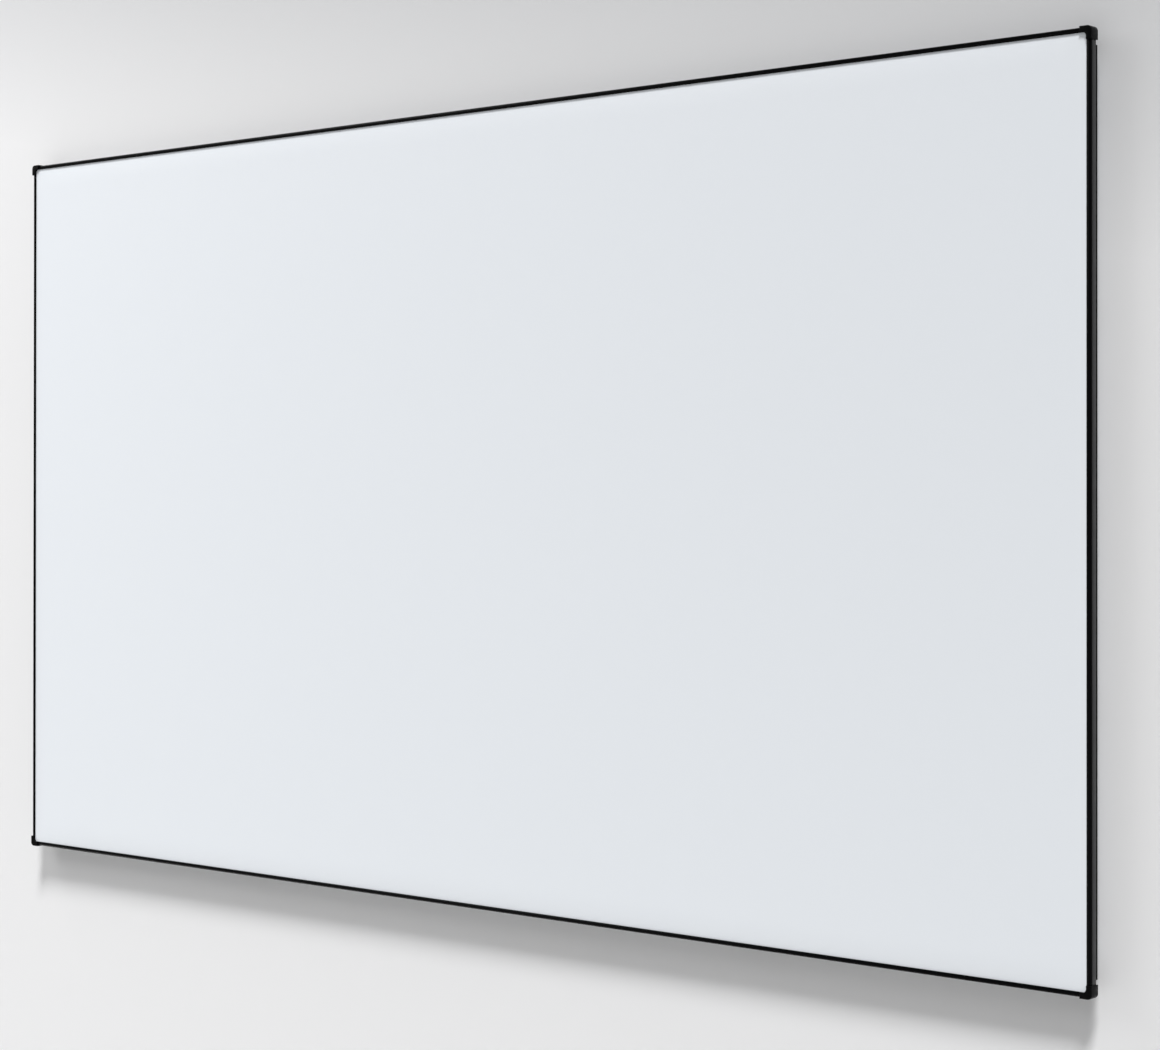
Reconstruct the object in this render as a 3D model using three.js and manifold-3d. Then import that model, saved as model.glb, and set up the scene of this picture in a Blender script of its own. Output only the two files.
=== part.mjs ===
// Fixed frame projector screen, 100 inch diagonal, 16:9 picture.
//
// Millimetres. +X is to the right of someone who faces the picture, +Z is up, the picture faces -Y
// and the wall is on the +Y side. The origin is the middle of the whole screen's box.
//
// A white sheet is stretched over a frame of extruded rails. It wraps round the rails' outer edge,
// and springs behind the rails pull on rods in its hems. A thin trim strip snaps over each edge,
// a moulded cap covers each corner, and four brackets hold the frame off the wall.
//
// Every side of the frame has the same section. A section is drawn in two measures:
//   out   how far outward from the picture's edge
//   back  how far behind the picture's front face
// A side's pieces are modelled along X with out as Z and back as Y, and the side is then turned
// about Y into its place.

import * as THREE from 'three';
import { mergeVertices } from 'three/addons/utils/BufferGeometryUtils.js';
import Module from 'manifold-3d';

const wasm = await Module();
wasm.setup();

// Picture and sheet
const PICTURE_WIDTH = 2214;
const PICTURE_HEIGHT = 1245;
const SHEET_THICKNESS = 0.5;
const SHEET_NOTCH = 34; // the wraps stop this far short of the picture's corners

// Gap between pieces that touch
const CLEARANCE = 0.3;

// Trim strip
const TRIM_FACE = 7; // width of the black edge seen from the front
const TRIM_WALL = 1.9;
const TRIM_LIP_EDGE = 1.2; // thickness of the lip at the picture
const TRIM_LIP_CREST = 2.3; // thickness of the lip at its highest line
const TRIM_NOSE_RADIUS = 4;
const TRIM_BAND = 9.4; // flat part of the side, behind the nose
const TRIM_STEP = 0.7; // how far the skirt behind the band is set in
const TRIM_SNAP_THICKNESS = 1;
const TRIM_SNAP_REACH = 2.2;
const TRIM_RELIEF = 6; // the skirt is cut away this far past each corner cap

// Corner cap
const CAP_PROUD = 1.5; // how far the cap stands out from the trim
const CAP_LEG = 18;
const CAP_DEPTH = 17.2;
const CAP_OUTER_RADIUS = 6.5;
const CAP_INNER_RADIUS = 5;
const CAP_EDGE_RADIUS = 1.2;

// Rail
const RAIL_WIDTH = 44;
const RAIL_WALL = 1.3;
const TUBE_DEPTH = 6.2;
const WEB_FROM_EDGE = 15.4; // outer edge of the rail to the web between its two chambers
const RIDGE_HEIGHT = 1.8; // the sheet bears on a ridge, so that it stays off the rail's face
const RIDGE_WIDTH = 3;
const RIDGE_SLOPE = 2.5;
const RIDGE_RADIUS = 1.2;
const LEG_THICKNESS = 2;
const LEG_HEIGHT = 4.8;
const CHANNEL_DEPTH = 4.3; // between the tube's back and the flange
const FLANGE_OUTWARD = 5.5; // the side of the flange that the springs hook on
const FLANGE_INWARD = 3; // the side of the flange that the wall brackets catch
const FLANGE_BEAD = 0.9;

// Corner keys, splice bars and their screws
const KEY_LEG = 72; // past the inner corner
const KEY_SCREWS_AT = [20, 54];
const SPLICE_LENGTH = 210;
const SPLICE_SCREWS_AT = [28, 84];
const SCREW_SHANK_DIAMETER = 4;
const SCREW_HEAD_DIAMETER = 8;
const SCREW_HEAD_HEIGHT = 2.2;

// Tension rods and springs
const ROD_DIAMETER = 4;
const ROD_FROM_EDGE = 9.5; // outer edge of the rail to the rod's axis
const ROD_PAST_POCKET = 8;
const SPRING_WIRE = 1.2;
const SPRING_DIAMETER = 6;
const SPRING_BODY_LENGTH = 15;
const SPRING_SHANK = 2; // from the loop on the rod to the first coil
const SPRING_LOOP_OPEN = [126, 144]; // where the loop on the rod ends and starts, in degrees
const SPRING_CORNER_MARGIN = 100; // picture's corner to the nearest spring
const SPRINGS_ALONG_WIDTH = 8;
const SPRINGS_ALONG_HEIGHT = 5;
const POCKET_WINDOW = 14; // width of the notch in the hem at each spring

// Centre support bar and its clips
const BAR_WIDTH = 26;
const BAR_DEPTH = 7.4;
const BAR_WALL = 1.2;
const BAR_BEHIND_FACE = 1.8; // the bar's front lies this far behind the rails' front face
const CLIP_WIDTH = 64;
const CLIP_HOOK = 1.5;
const CLIP_HOOK_REACH = 5.5; // over the back of the flange
const CLIP_SPIGOT = 45;

// Wall brackets
const BRACKET_WIDTH = 60;
const BRACKET_THICKNESS = 2;
const BRACKET_HEIGHT = 40;
const BRACKET_BEND_RADIUS = 1.5;
const BRACKET_HOLE_DIAMETER = 5.5;
const BRACKET_HOLE_SPACING = 34;
const BRACKET_HOLE_FROM_END = 16;
const BRACKET_FROM_MIDDLE = 553;
const WALL_GAP = 21.6; // flange to wall

// How closely curves are cut into facets
const PEG_FACETS = 8;
const CORNER_STEPS = 8;

// How far a cutter runs past the faces that it cuts
const CUTTER_PAST = 1;

// Places that follow, measured outward
const trimInnerFace = TRIM_FACE - TRIM_WALL;
const skirtOuterFace = TRIM_FACE - TRIM_STEP;
const sheetOuterFace = trimInnerFace - CLEARANCE;
const railOuterFace = sheetOuterFace - SHEET_THICKNESS - CLEARANCE;
const railInnerFace = railOuterFace - RAIL_WIDTH;
const webOut = railOuterFace - WEB_FROM_EDGE;
const chamberOut = [railInnerFace + RAIL_WALL, webOut - RAIL_WALL / 2];
const outerChamberOut = [webOut + RAIL_WALL / 2, railOuterFace - LEG_THICKNESS];
const rodOut = railOuterFace - ROD_FROM_EDGE;
const flangeOuterTip = railInnerFace + FLANGE_OUTWARD;
const flangeInnerTip = railInnerFace - FLANGE_INWARD;
const capOuterFace = TRIM_FACE + CAP_PROUD;
const capLegEnd = capOuterFace - CAP_LEG;

// Places that follow, measured back from the picture's front face
const ridgeBack = SHEET_THICKNESS + CLEARANCE;
const railFaceBack = ridgeBack + RIDGE_HEIGHT;
const tubeBack = railFaceBack + TUBE_DEPTH;
const chamberBack = [railFaceBack + RAIL_WALL, tubeBack - RAIL_WALL];
const legBack = tubeBack + LEG_HEIGHT;
const rodBack = tubeBack + CLEARANCE + SPRING_WIRE + CLEARANCE + ROD_DIAMETER / 2;
const flangeFront = tubeBack + CHANNEL_DEPTH;
const flangeBack = flangeFront + RAIL_WALL;
const crestBack = -CLEARANCE - TRIM_LIP_CREST;
const noseBack = crestBack + TRIM_NOSE_RADIUS;
const bandBack = noseBack + TRIM_BAND;
const snapFront = legBack + CLEARANCE + SHEET_THICKNESS + CLEARANCE;
const capFront = crestBack - CAP_PROUD;
const wallBack = flangeBack + WALL_GAP;
const middleBack = (capFront + wallBack) / 2;

// Radii of the sheet where it turns round the ridge, round the leg and round the rod
const ridgeWrap = RIDGE_RADIUS + CLEARANCE;
const legWrap = LEG_THICKNESS / 2 + CLEARANCE;
const pocketBore = ROD_DIAMETER / 2 + CLEARANCE;
const pocketRadius = pocketBore + SHEET_THICKNESS;

// Finishes
const finish = (color, roughness, metalness) => new THREE.MeshStandardMaterial({ color, roughness, metalness });
const blackAnodised = finish(0x161719, 0.38, 0.5);
const blackPlastic = finish(0x121213, 0.5, 0);
const whiteSheet = finish(0xeceef2, 0.9, 0);
const zincSteel = finish(0x9a9d9f, 0.4, 0.9);
const glassFibre = finish(0xd9d6cc, 0.6, 0);
const blackSteel = finish(0x1d1e20, 0.5, 0.3);

// Solids and meshes

function solidOf(geometry) {
  geometry.deleteAttribute('normal');
  geometry.deleteAttribute('uv');
  const merged = mergeVertices(geometry, 1e-5);
  const vertProperties = new Float32Array(merged.attributes.position.array);
  const triVerts = new Uint32Array(merged.index.array);
  return new wasm.Manifold(new wasm.Mesh({ numProp: 3, vertProperties, triVerts }));
}

function geometryOf(solid) {
  const { vertProperties, triVerts } = solid.getMesh();
  const geometry = new THREE.BufferGeometry();
  geometry.setAttribute('position', new THREE.BufferAttribute(vertProperties, 3));
  geometry.setIndex(new THREE.BufferAttribute(triVerts, 1));
  geometry.computeVertexNormals();
  return geometry;
}

function addPiece(parent, name, geometry, material) {
  const mesh = new THREE.Mesh(geometry, material);
  mesh.name = name;
  parent.add(mesh);
  return mesh;
}

// A point on an arc of a section, with the angle measured from out towards back
const onArc = (centre, radius, angle) => [
  centre[0] + radius * Math.cos(angle),
  centre[1] + radius * Math.sin(angle),
];

function arc(centre, radius, start, end, steps) {
  const points = [];
  for (let i = 0; i <= steps; i += 1) {
    points.push(onArc(centre, radius, start + ((end - start) * i) / steps));
  }
  return points;
}

const outline = (points) => new THREE.Shape(points.map(([x, y]) => new THREE.Vector2(x, y)));

// Runs a section along a side from one place to another. A mitred end slides each point of the
// section along the side by how far out it lies, which cuts the end at 45 degrees.
function run(shape, start, end, mitred = { start: false, end: false }) {
  const length = end - start;
  const geometry = new THREE.ExtrudeGeometry(shape, { depth: length, bevelEnabled: false });
  geometry.rotateY(-Math.PI / 2);
  geometry.translate(end, 0, 0);
  const position = geometry.attributes.position;
  for (let i = 0; i < position.count; i += 1) {
    const x = position.getX(i);
    const atEnd = x > (start + end) / 2;
    const slide = atEnd ? Number(mitred.end) : -Number(mitred.start);
    position.setX(i, x + slide * position.getZ(i));
  }
  geometry.computeVertexNormals();
  return geometry;
}

// A flat outline in X and Z, from one depth to another, with its edges rounded where a radius is given
function plate(shape, front, back, edge = 0) {
  const geometry = new THREE.ExtrudeGeometry(shape, {
    depth: back - front - 2 * edge,
    bevelEnabled: edge > 0,
    bevelSize: edge,
    bevelThickness: edge,
    bevelOffset: -edge,
    bevelSegments: 3,
    curveSegments: CORNER_STEPS,
  });
  geometry.rotateX(Math.PI / 2);
  geometry.translate(0, back - edge, 0);
  return geometry;
}

function block(x, y, z) {
  const geometry = new THREE.BoxGeometry(x[1] - x[0], y[1] - y[0], z[1] - z[0]);
  geometry.translate((x[0] + x[1]) / 2, (y[0] + y[1]) / 2, (z[0] + z[1]) / 2);
  return geometry;
}

// A round bar or a hole's cutter whose axis runs from front to back
function pegBack(diameter, x, z, front, back) {
  const geometry = new THREE.CylinderGeometry(diameter / 2, diameter / 2, back - front, PEG_FACETS);
  geometry.translate(x, (front + back) / 2, z);
  return geometry;
}

// The four sides and the four corners of the frame

const halfWidth = PICTURE_WIDTH / 2;
const halfHeight = PICTURE_HEIGHT / 2;
const quarter = Math.PI / 2;
const sides = {
  top: { turn: 0, x: 0, z: halfHeight, half: halfWidth, springs: SPRINGS_ALONG_WIDTH },
  right: { turn: quarter, x: halfWidth, z: 0, half: halfHeight, springs: SPRINGS_ALONG_HEIGHT },
  bottom: { turn: 2 * quarter, x: 0, z: -halfHeight, half: halfWidth, springs: SPRINGS_ALONG_WIDTH },
  left: { turn: -quarter, x: -halfWidth, z: 0, half: halfHeight, springs: SPRINGS_ALONG_HEIGHT },
};
const corners = {
  top_right: { turn: 0, x: halfWidth, z: halfHeight },
  bottom_right: { turn: quarter, x: halfWidth, z: -halfHeight },
  bottom_left: { turn: 2 * quarter, x: -halfWidth, z: -halfHeight },
  top_left: { turn: -quarter, x: -halfWidth, z: halfHeight },
};

const screen = new THREE.Group();
screen.position.y = -middleBack;

function placedGroup({ turn, x, z }) {
  const group = new THREE.Group();
  group.rotation.y = turn;
  group.position.set(x, 0, z);
  screen.add(group);
  return group;
}
const sideGroups = Object.fromEntries(Object.entries(sides).map(([name, side]) => [name, placedGroup(side)]));

function inPlace(geometry, { turn, x, z }) {
  geometry.rotateY(turn);
  geometry.translate(x, 0, z);
  return geometry;
}

const springPlaces = ({ half, springs }) => {
  const first = SPRING_CORNER_MARGIN - half;
  return Array.from({ length: springs }, (_, i) => first + (i * -2 * first) / (springs - 1));
};

// Rails: a flat two-chamber tube with a ridge in front that the sheet bears on, a rounded leg
// behind that it turns round, and a T-flange on the inner side

function railSection() {
  const legCentre = [railOuterFace - LEG_THICKNESS / 2, legBack - LEG_THICKNESS / 2];
  const ridgeCentre = [railOuterFace - RIDGE_RADIUS, ridgeBack + RIDGE_RADIUS];
  const ridgeInner = railOuterFace - RIDGE_WIDTH;
  const beadInner = flangeOuterTip - RAIL_WALL;
  return outline([
    [railInnerFace, railFaceBack],
    [ridgeInner - RIDGE_SLOPE, railFaceBack],
    [ridgeInner, ridgeBack],
    ...arc(ridgeCentre, RIDGE_RADIUS, -quarter, 0, 4),
    ...arc(legCentre, LEG_THICKNESS / 2, 0, Math.PI, 6),
    [railOuterFace - LEG_THICKNESS, tubeBack],
    [railInnerFace + RAIL_WALL, tubeBack],
    [railInnerFace + RAIL_WALL, flangeFront],
    [beadInner, flangeFront],
    [beadInner, flangeFront - FLANGE_BEAD],
    [flangeOuterTip, flangeFront - FLANGE_BEAD],
    [flangeOuterTip, flangeBack],
    [flangeInnerTip, flangeBack],
    [flangeInnerTip, flangeFront],
    [railInnerFace, flangeFront],
  ]);
}

const keyMiddle = (chamberOut[0] + chamberOut[1]) / 2;
const mitreGap = CLEARANCE / Math.SQRT2;

// Where a side's screws come through, along the side: two for each corner key
const keyScrews = (half) => KEY_SCREWS_AT.map((at) => half + chamberOut[0] - at);

function rail(half, from, to, screwsAt) {
  const mitred = { start: from === -half, end: to === half };
  const start = mitred.start ? from + mitreGap : from;
  const end = mitred.end ? to - mitreGap : to;
  let solid = solidOf(run(railSection(), start, end, mitred));
  for (const chamber of [chamberOut, outerChamberOut]) {
    solid = solid.subtract(solidOf(block([from - RAIL_WIDTH, to + RAIL_WIDTH], chamberBack, chamber)));
  }
  for (const x of screwsAt) {
    const hole = pegBack(
      SCREW_SHANK_DIAMETER + 2 * CLEARANCE, x, keyMiddle, chamberBack[1] - RAIL_WALL, tubeBack + RAIL_WALL,
    );
    solid = solid.subtract(solidOf(hole));
  }
  return geometryOf(solid);
}

function addRails() {
  const nameOfHalf = { top: ['rail_top_left', 'rail_top_right'], bottom: ['rail_bottom_right', 'rail_bottom_left'] };
  for (const [side, [first, second]] of Object.entries(nameOfHalf)) {
    const { half } = sides[side];
    const screws = [...keyScrews(half), ...SPLICE_SCREWS_AT];
    const seam = CLEARANCE / 2;
    addPiece(sideGroups[side], first, rail(half, -half, -seam, screws.map((x) => -x)), blackAnodised);
    addPiece(sideGroups[side], second, rail(half, seam, half, screws), blackAnodised);
  }
  for (const side of ['left', 'right']) {
    const { half } = sides[side];
    const screws = keyScrews(half);
    const all = [...screws, ...screws.map((x) => -x)];
    addPiece(sideGroups[side], `rail_${side}`, rail(half, -half, half, all), blackAnodised);
  }
}

// Corner keys and splice bars: flat steel in the rails' inner chambers, drawn up against the
// rails' backs by button head screws

function withScrews(bar, places) {
  const barBack = chamberBack[1] - CLEARANCE;
  let solid = bar;
  for (const [x, z] of places) {
    const head = tubeBack + CLEARANCE;
    const overlap = CLEARANCE;
    solid = solid.add(solidOf(pegBack(SCREW_SHANK_DIAMETER, x, z, barBack - overlap, head + overlap)));
    solid = solid.add(solidOf(pegBack(SCREW_HEAD_DIAMETER, x, z, head, head + SCREW_HEAD_HEIGHT)));
  }
  return geometryOf(solid);
}

function cornerKey() {
  const [inner, outer] = [chamberOut[0] + CLEARANCE, chamberOut[1] - CLEARANCE];
  const end = chamberOut[0] - KEY_LEG;
  const shape = outline([[end, inner], [inner, inner], [inner, end], [outer, end], [outer, outer], [end, outer]]);
  const bar = solidOf(plate(shape, chamberBack[0] + CLEARANCE, chamberBack[1] - CLEARANCE));
  const along = KEY_SCREWS_AT.map((at) => chamberOut[0] - at);
  return withScrews(bar, [...along.map((x) => [x, keyMiddle]), ...along.map((z) => [keyMiddle, z])]);
}

function spliceBar() {
  const bar = solidOf(block(
    [-SPLICE_LENGTH / 2, SPLICE_LENGTH / 2],
    [chamberBack[0] + CLEARANCE, chamberBack[1] - CLEARANCE],
    [chamberOut[0] + CLEARANCE, chamberOut[1] - CLEARANCE],
  ));
  return withScrews(bar, [...SPLICE_SCREWS_AT, ...SPLICE_SCREWS_AT.map((x) => -x)].map((x) => [x, keyMiddle]));
}

function addJoiners() {
  for (const [corner, place] of Object.entries(corners)) {
    addPiece(placedGroup(place), `corner_key_${corner}`, cornerKey(), zincSteel);
  }
  for (const side of ['top', 'bottom']) {
    addPiece(sideGroups[side], `splice_bar_${side}`, spliceBar(), zincSteel);
  }
}

// Screen sheet: one piece of film. Each edge turns round the ridge, runs down the rail's outer face,
// turns round the leg and ends in a hem pocket for its rod. The corners are notched.

function wrapSection() {
  const ridgeCentre = [railOuterFace - RIDGE_RADIUS, ridgeBack + RIDGE_RADIUS];
  const legCentre = [railOuterFace - LEG_THICKNESS / 2, legBack - LEG_THICKNESS / 2];
  const outer = SHEET_THICKNESS;
  return outline([
    [0, 0],
    ...arc(ridgeCentre, ridgeWrap + outer, -quarter, 0, 4),
    ...arc(legCentre, legWrap + outer, 0, quarter, 4),
    [rodOut, rodBack + pocketRadius],
    [rodOut, rodBack + pocketBore],
    ...arc(legCentre, legWrap, quarter, 0, 4),
    ...arc(ridgeCentre, ridgeWrap, 0, -quarter, 4),
    [0, SHEET_THICKNESS],
  ]);
}

function pocketSection() {
  const shape = outline(arc([rodOut, rodBack], pocketRadius, 0, 4 * quarter, 8).slice(0, -1));
  shape.holes.push(outline(arc([rodOut, rodBack], pocketBore, 0, 4 * quarter, 8).slice(0, -1)));
  return shape;
}

function sheet() {
  const flatOut = railOuterFace - RIDGE_RADIUS;
  let solid = solidOf(block(
    [-halfWidth - flatOut, halfWidth + flatOut], [0, SHEET_THICKNESS], [-halfHeight - flatOut, halfHeight + flatOut],
  ));
  const loop = ROD_DIAMETER / 2 + 2 * CLEARANCE + SPRING_WIRE;
  for (const side of Object.values(sides)) {
    const end = side.half - SHEET_NOTCH;
    let edge = solidOf(run(wrapSection(), -end, end)).add(solidOf(run(pocketSection(), -end, end)));
    for (const x of springPlaces(side)) {
      const window = block(
        [x - POCKET_WINDOW / 2, x + POCKET_WINDOW / 2],
        [rodBack - loop - CLEARANCE, rodBack + loop + CLEARANCE],
        [rodOut - loop - CLEARANCE, rodOut + loop + CLEARANCE],
      );
      edge = edge.subtract(solidOf(window));
    }
    solid = solid.add(solidOf(inPlace(geometryOf(edge), side)));
  }
  return geometryOf(solid);
}

// Tension rods and springs

function rod(half) {
  const end = half - SHEET_NOTCH + ROD_PAST_POCKET;
  const geometry = new THREE.CylinderGeometry(ROD_DIAMETER / 2, ROD_DIAMETER / 2, 2 * end, 12);
  geometry.rotateZ(quarter);
  geometry.translate(0, rodBack, rodOut);
  return geometry;
}

// A spring lies across the rail. From its close coils the wire loops round the rod at one end, and
// at the other it dips under the flange's bead and turns up behind it.
function wire(points, steps) {
  const section = outline(arc([0, 0], SPRING_WIRE / 2, 0, 4 * quarter, 5).slice(0, -1));
  const path = new THREE.CatmullRomCurve3(points.map(([out, back]) => new THREE.Vector3(0, back, out)));
  return solidOf(new THREE.ExtrudeGeometry(section, { steps, bevelEnabled: false, extrudePath: path }));
}

function spring() {
  const loopRadius = ROD_DIAMETER / 2 + CLEARANCE + SPRING_WIRE / 2;
  const bodyStart = rodOut - loopRadius - SPRING_SHANK;
  const bodyEnd = bodyStart - SPRING_BODY_LENGTH;
  const body = new THREE.CylinderGeometry(SPRING_DIAMETER / 2, SPRING_DIAMETER / 2, SPRING_BODY_LENGTH, PEG_FACETS);
  body.rotateX(quarter);
  body.translate(0, rodBack, (bodyStart + bodyEnd) / 2);

  const [loopEnd, loopStart] = SPRING_LOOP_OPEN.map(THREE.MathUtils.degToRad);
  const loop = wire([
    [bodyStart - SPRING_WIRE, rodBack],
    ...arc([rodOut, rodBack], loopRadius, loopStart, -loopEnd, 6),
  ], 8);

  const dip = flangeFront - FLANGE_BEAD - CLEARANCE - SPRING_WIRE / 2;
  const turn = flangeOuterTip - RAIL_WALL - CLEARANCE - SPRING_WIRE / 2;
  const hook = wire([
    [bodyEnd + SPRING_WIRE, rodBack],
    [bodyEnd - SPRING_WIRE, rodBack],
    [bodyEnd - 2 * SPRING_WIRE, dip],
    [turn + SPRING_WIRE, dip],
    [turn, dip + SPRING_WIRE],
    [turn, flangeFront - CLEARANCE],
  ], 7);
  return geometryOf(solidOf(body).add(loop).add(hook));
}

function addTension() {
  addPiece(screen, 'screen_sheet', sheet(), whiteSheet);
  const springShape = spring();
  for (const [name, side] of Object.entries(sides)) {
    addPiece(sideGroups[name], `tension_rod_${name}`, rod(side.half), glassFibre);
    springPlaces(side).forEach((x, i) => {
      addPiece(sideGroups[name], `spring_${name}_${i + 1}`, springShape, zincSteel).position.x = x;
    });
  }
}

// Trim strips: a C-section that snaps over the sheet's wrapped edge. The lip rises from the picture
// to a crest and falls over a rounded nose to a flat band, and the skirt behind the band is set in.

function trimSection() {
  return outline([
    [0, -CLEARANCE],
    [0, -CLEARANCE - TRIM_LIP_EDGE],
    ...arc([TRIM_FACE - TRIM_NOSE_RADIUS, noseBack], TRIM_NOSE_RADIUS, -quarter, 0, 8),
    [TRIM_FACE, bandBack],
    [skirtOuterFace, bandBack],
    [skirtOuterFace, snapFront + TRIM_SNAP_THICKNESS],
    [trimInnerFace - TRIM_SNAP_REACH, snapFront + TRIM_SNAP_THICKNESS],
    [trimInnerFace - TRIM_SNAP_REACH, snapFront],
    [trimInnerFace, snapFront],
    [trimInnerFace, -CLEARANCE],
  ]);
}

function trim(half) {
  const mitred = { start: true, end: true };
  let solid = solidOf(run(trimSection(), -half + mitreGap, half - mitreGap, mitred));
  for (const hand of [-1, 1]) {
    const places = [hand * (half + capLegEnd - TRIM_RELIEF), hand * (half + TRIM_FACE + CUTTER_PAST)];
    const relief = block(
      [Math.min(...places), Math.max(...places)],
      [bandBack, snapFront + TRIM_SNAP_THICKNESS + CUTTER_PAST],
      [trimInnerFace - TRIM_SNAP_REACH - CUTTER_PAST, TRIM_FACE + CUTTER_PAST],
    );
    solid = solid.subtract(solidOf(relief));
  }
  return geometryOf(solid);
}

// Corner caps: a moulded L with a rounded outer corner and a filleted inner one. Inside it is the
// trim's own shape plus clearance, and behind the trim's band it has a claw that holds it on.

function capOutline() {
  const shape = new THREE.Shape();
  const [face, outerRadius, innerRadius] = [capOuterFace, CAP_OUTER_RADIUS, CAP_INNER_RADIUS];
  shape.moveTo(capLegEnd, 0);
  shape.lineTo(-innerRadius, 0);
  shape.absarc(-innerRadius, -innerRadius, innerRadius, quarter, 0, true);
  shape.lineTo(0, capLegEnd);
  shape.lineTo(face, capLegEnd);
  shape.lineTo(face, face - outerRadius);
  shape.absarc(face - outerRadius, face - outerRadius, outerRadius, 0, quarter, false);
  shape.lineTo(capLegEnd, face);
  shape.closePath();
  return shape;
}

// What the cap has to leave free: the trim with its clearance, and all that lies inside the trim
function capHollow() {
  const deep = CAP_LEG + CAP_DEPTH;
  const nose = [TRIM_FACE - TRIM_NOSE_RADIUS, noseBack];
  return outline([
    [-deep, -CLEARANCE],
    [-CLEARANCE, -CLEARANCE],
    [-CLEARANCE, -2 * CLEARANCE - TRIM_LIP_EDGE],
    ...arc(nose, TRIM_NOSE_RADIUS + CLEARANCE, -quarter, 0, 8),
    [TRIM_FACE + CLEARANCE, bandBack + CLEARANCE],
    [skirtOuterFace + CLEARANCE, bandBack + CLEARANCE],
    [skirtOuterFace + CLEARANCE, deep],
    [-deep, deep],
  ]);
}

function cap() {
  const capBack = capFront + CAP_DEPTH;
  let solid = solidOf(plate(capOutline(), capFront, capBack + 2 * CAP_EDGE_RADIUS, CAP_EDGE_RADIUS));
  const reach = 2 * CAP_LEG;
  const alongX = run(capHollow(), -reach, 0, { start: false, end: true });
  const alongZ = run(capHollow(), 0, reach, { start: true, end: false });
  alongZ.rotateY(quarter);
  const behind = block([-reach, reach], [capBack, capBack + reach], [-reach, reach]);
  for (const cutter of [alongX, alongZ, behind]) {
    solid = solid.subtract(solidOf(cutter));
  }
  return geometryOf(solid);
}

function addTrim() {
  for (const [name, side] of Object.entries(sides)) {
    addPiece(sideGroups[name], `trim_${name}`, trim(side.half), blackAnodised);
  }
  const capShape = cap();
  for (const [corner, place] of Object.entries(corners)) {
    addPiece(placedGroup(place), `corner_cap_${corner}`, capShape, blackPlastic);
  }
}

// Centre support: an upright tube between the long rails, on two moulded clips that snap over the
// flange's inner edge and plug into the tube

const barFront = railFaceBack + BAR_BEHIND_FACE;
const clipInner = flangeInnerTip - CLEARANCE - CLIP_HOOK;

function supportBar() {
  const end = halfHeight + clipInner - CLEARANCE;
  const around = (inset, length) => solidOf(block(
    [-BAR_WIDTH / 2 + inset, BAR_WIDTH / 2 - inset],
    [barFront + inset, barFront + BAR_DEPTH - inset],
    [-length, length],
  ));
  return geometryOf(around(0, end).subtract(around(BAR_WALL, end + CUTTER_PAST)));
}

function supportClip() {
  const plateOuter = railInnerFace - CLEARANCE;
  const [hookFront, hookTip] = [flangeBack + CLEARANCE, flangeInnerTip + CLIP_HOOK_REACH];
  const tipClear = flangeInnerTip - CLEARANCE;
  const section = outline([
    [plateOuter, railFaceBack + RAIL_WALL],
    [plateOuter, flangeFront - CLEARANCE],
    [tipClear, flangeFront - CLEARANCE],
    [tipClear, hookFront],
    [hookTip, hookFront],
    [hookTip, hookFront + CLIP_HOOK],
    [clipInner, hookFront + CLIP_HOOK],
    [clipInner, railFaceBack + RAIL_WALL],
  ]);
  const inset = BAR_WALL + CLEARANCE;
  const spigot = block(
    [-BAR_WIDTH / 2 + inset, BAR_WIDTH / 2 - inset],
    [barFront + inset, barFront + BAR_DEPTH - inset],
    [clipInner - CLIP_SPIGOT, clipInner + CLIP_HOOK],
  );
  return geometryOf(solidOf(run(section, -CLIP_WIDTH / 2, CLIP_WIDTH / 2)).add(solidOf(spigot)));
}

function addSupport() {
  addPiece(screen, 'support_bar', supportBar(), blackAnodised);
  for (const side of ['top', 'bottom']) {
    addPiece(sideGroups[side], `support_clip_${side}`, supportClip(), blackPlastic);
  }
}

// Wall brackets: bent steel strip. The plate is screwed to the wall, the shelf reaches forward under
// the flange, and the lip, which is bent up sharp, stands in front of it and carries the rail.

function wallBracket() {
  const t = BRACKET_THICKNESS;
  const lipBack = flangeFront - CLEARANCE;
  const shelfOuter = flangeInnerTip - CLEARANCE;
  const shelfInner = shelfOuter - t;
  const [inside, outside] = [BRACKET_BEND_RADIUS, BRACKET_BEND_RADIUS + t];
  const section = outline([
    [railInnerFace - CLEARANCE, lipBack - t],
    [railInnerFace - CLEARANCE, lipBack],
    [shelfOuter, lipBack],
    ...arc([shelfOuter + inside, wallBack - t - inside], inside, Math.PI, quarter, 3),
    [shelfInner + BRACKET_HEIGHT, wallBack - t],
    [shelfInner + BRACKET_HEIGHT, wallBack],
    ...arc([shelfInner + outside, wallBack - outside], outside, quarter, Math.PI, 3),
    ...arc([shelfOuter, lipBack], t, Math.PI, 3 * quarter, 3),
  ]);
  let solid = solidOf(run(section, -BRACKET_WIDTH / 2, BRACKET_WIDTH / 2));
  const holeOut = shelfInner + BRACKET_HEIGHT - BRACKET_HOLE_FROM_END;
  for (const x of [-BRACKET_HOLE_SPACING / 2, BRACKET_HOLE_SPACING / 2]) {
    const hole = pegBack(BRACKET_HOLE_DIAMETER, x, holeOut, wallBack - 2 * t, wallBack + t);
    solid = solid.subtract(solidOf(hole));
  }
  return geometryOf(solid);
}

function addBrackets() {
  const bracket = wallBracket();
  const atSide = { top: { left: -1, right: 1 }, bottom: { left: 1, right: -1 } };
  for (const [side, hands] of Object.entries(atSide)) {
    for (const [hand, sign] of Object.entries(hands)) {
      const mesh = addPiece(sideGroups[side], `wall_bracket_${side}_${hand}`, bracket, blackSteel);
      mesh.position.x = sign * BRACKET_FROM_MIDDLE;
    }
  }
}

addRails();
addJoiners();
addTension();
addTrim();
addSupport();
addBrackets();

export default screen;
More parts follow.
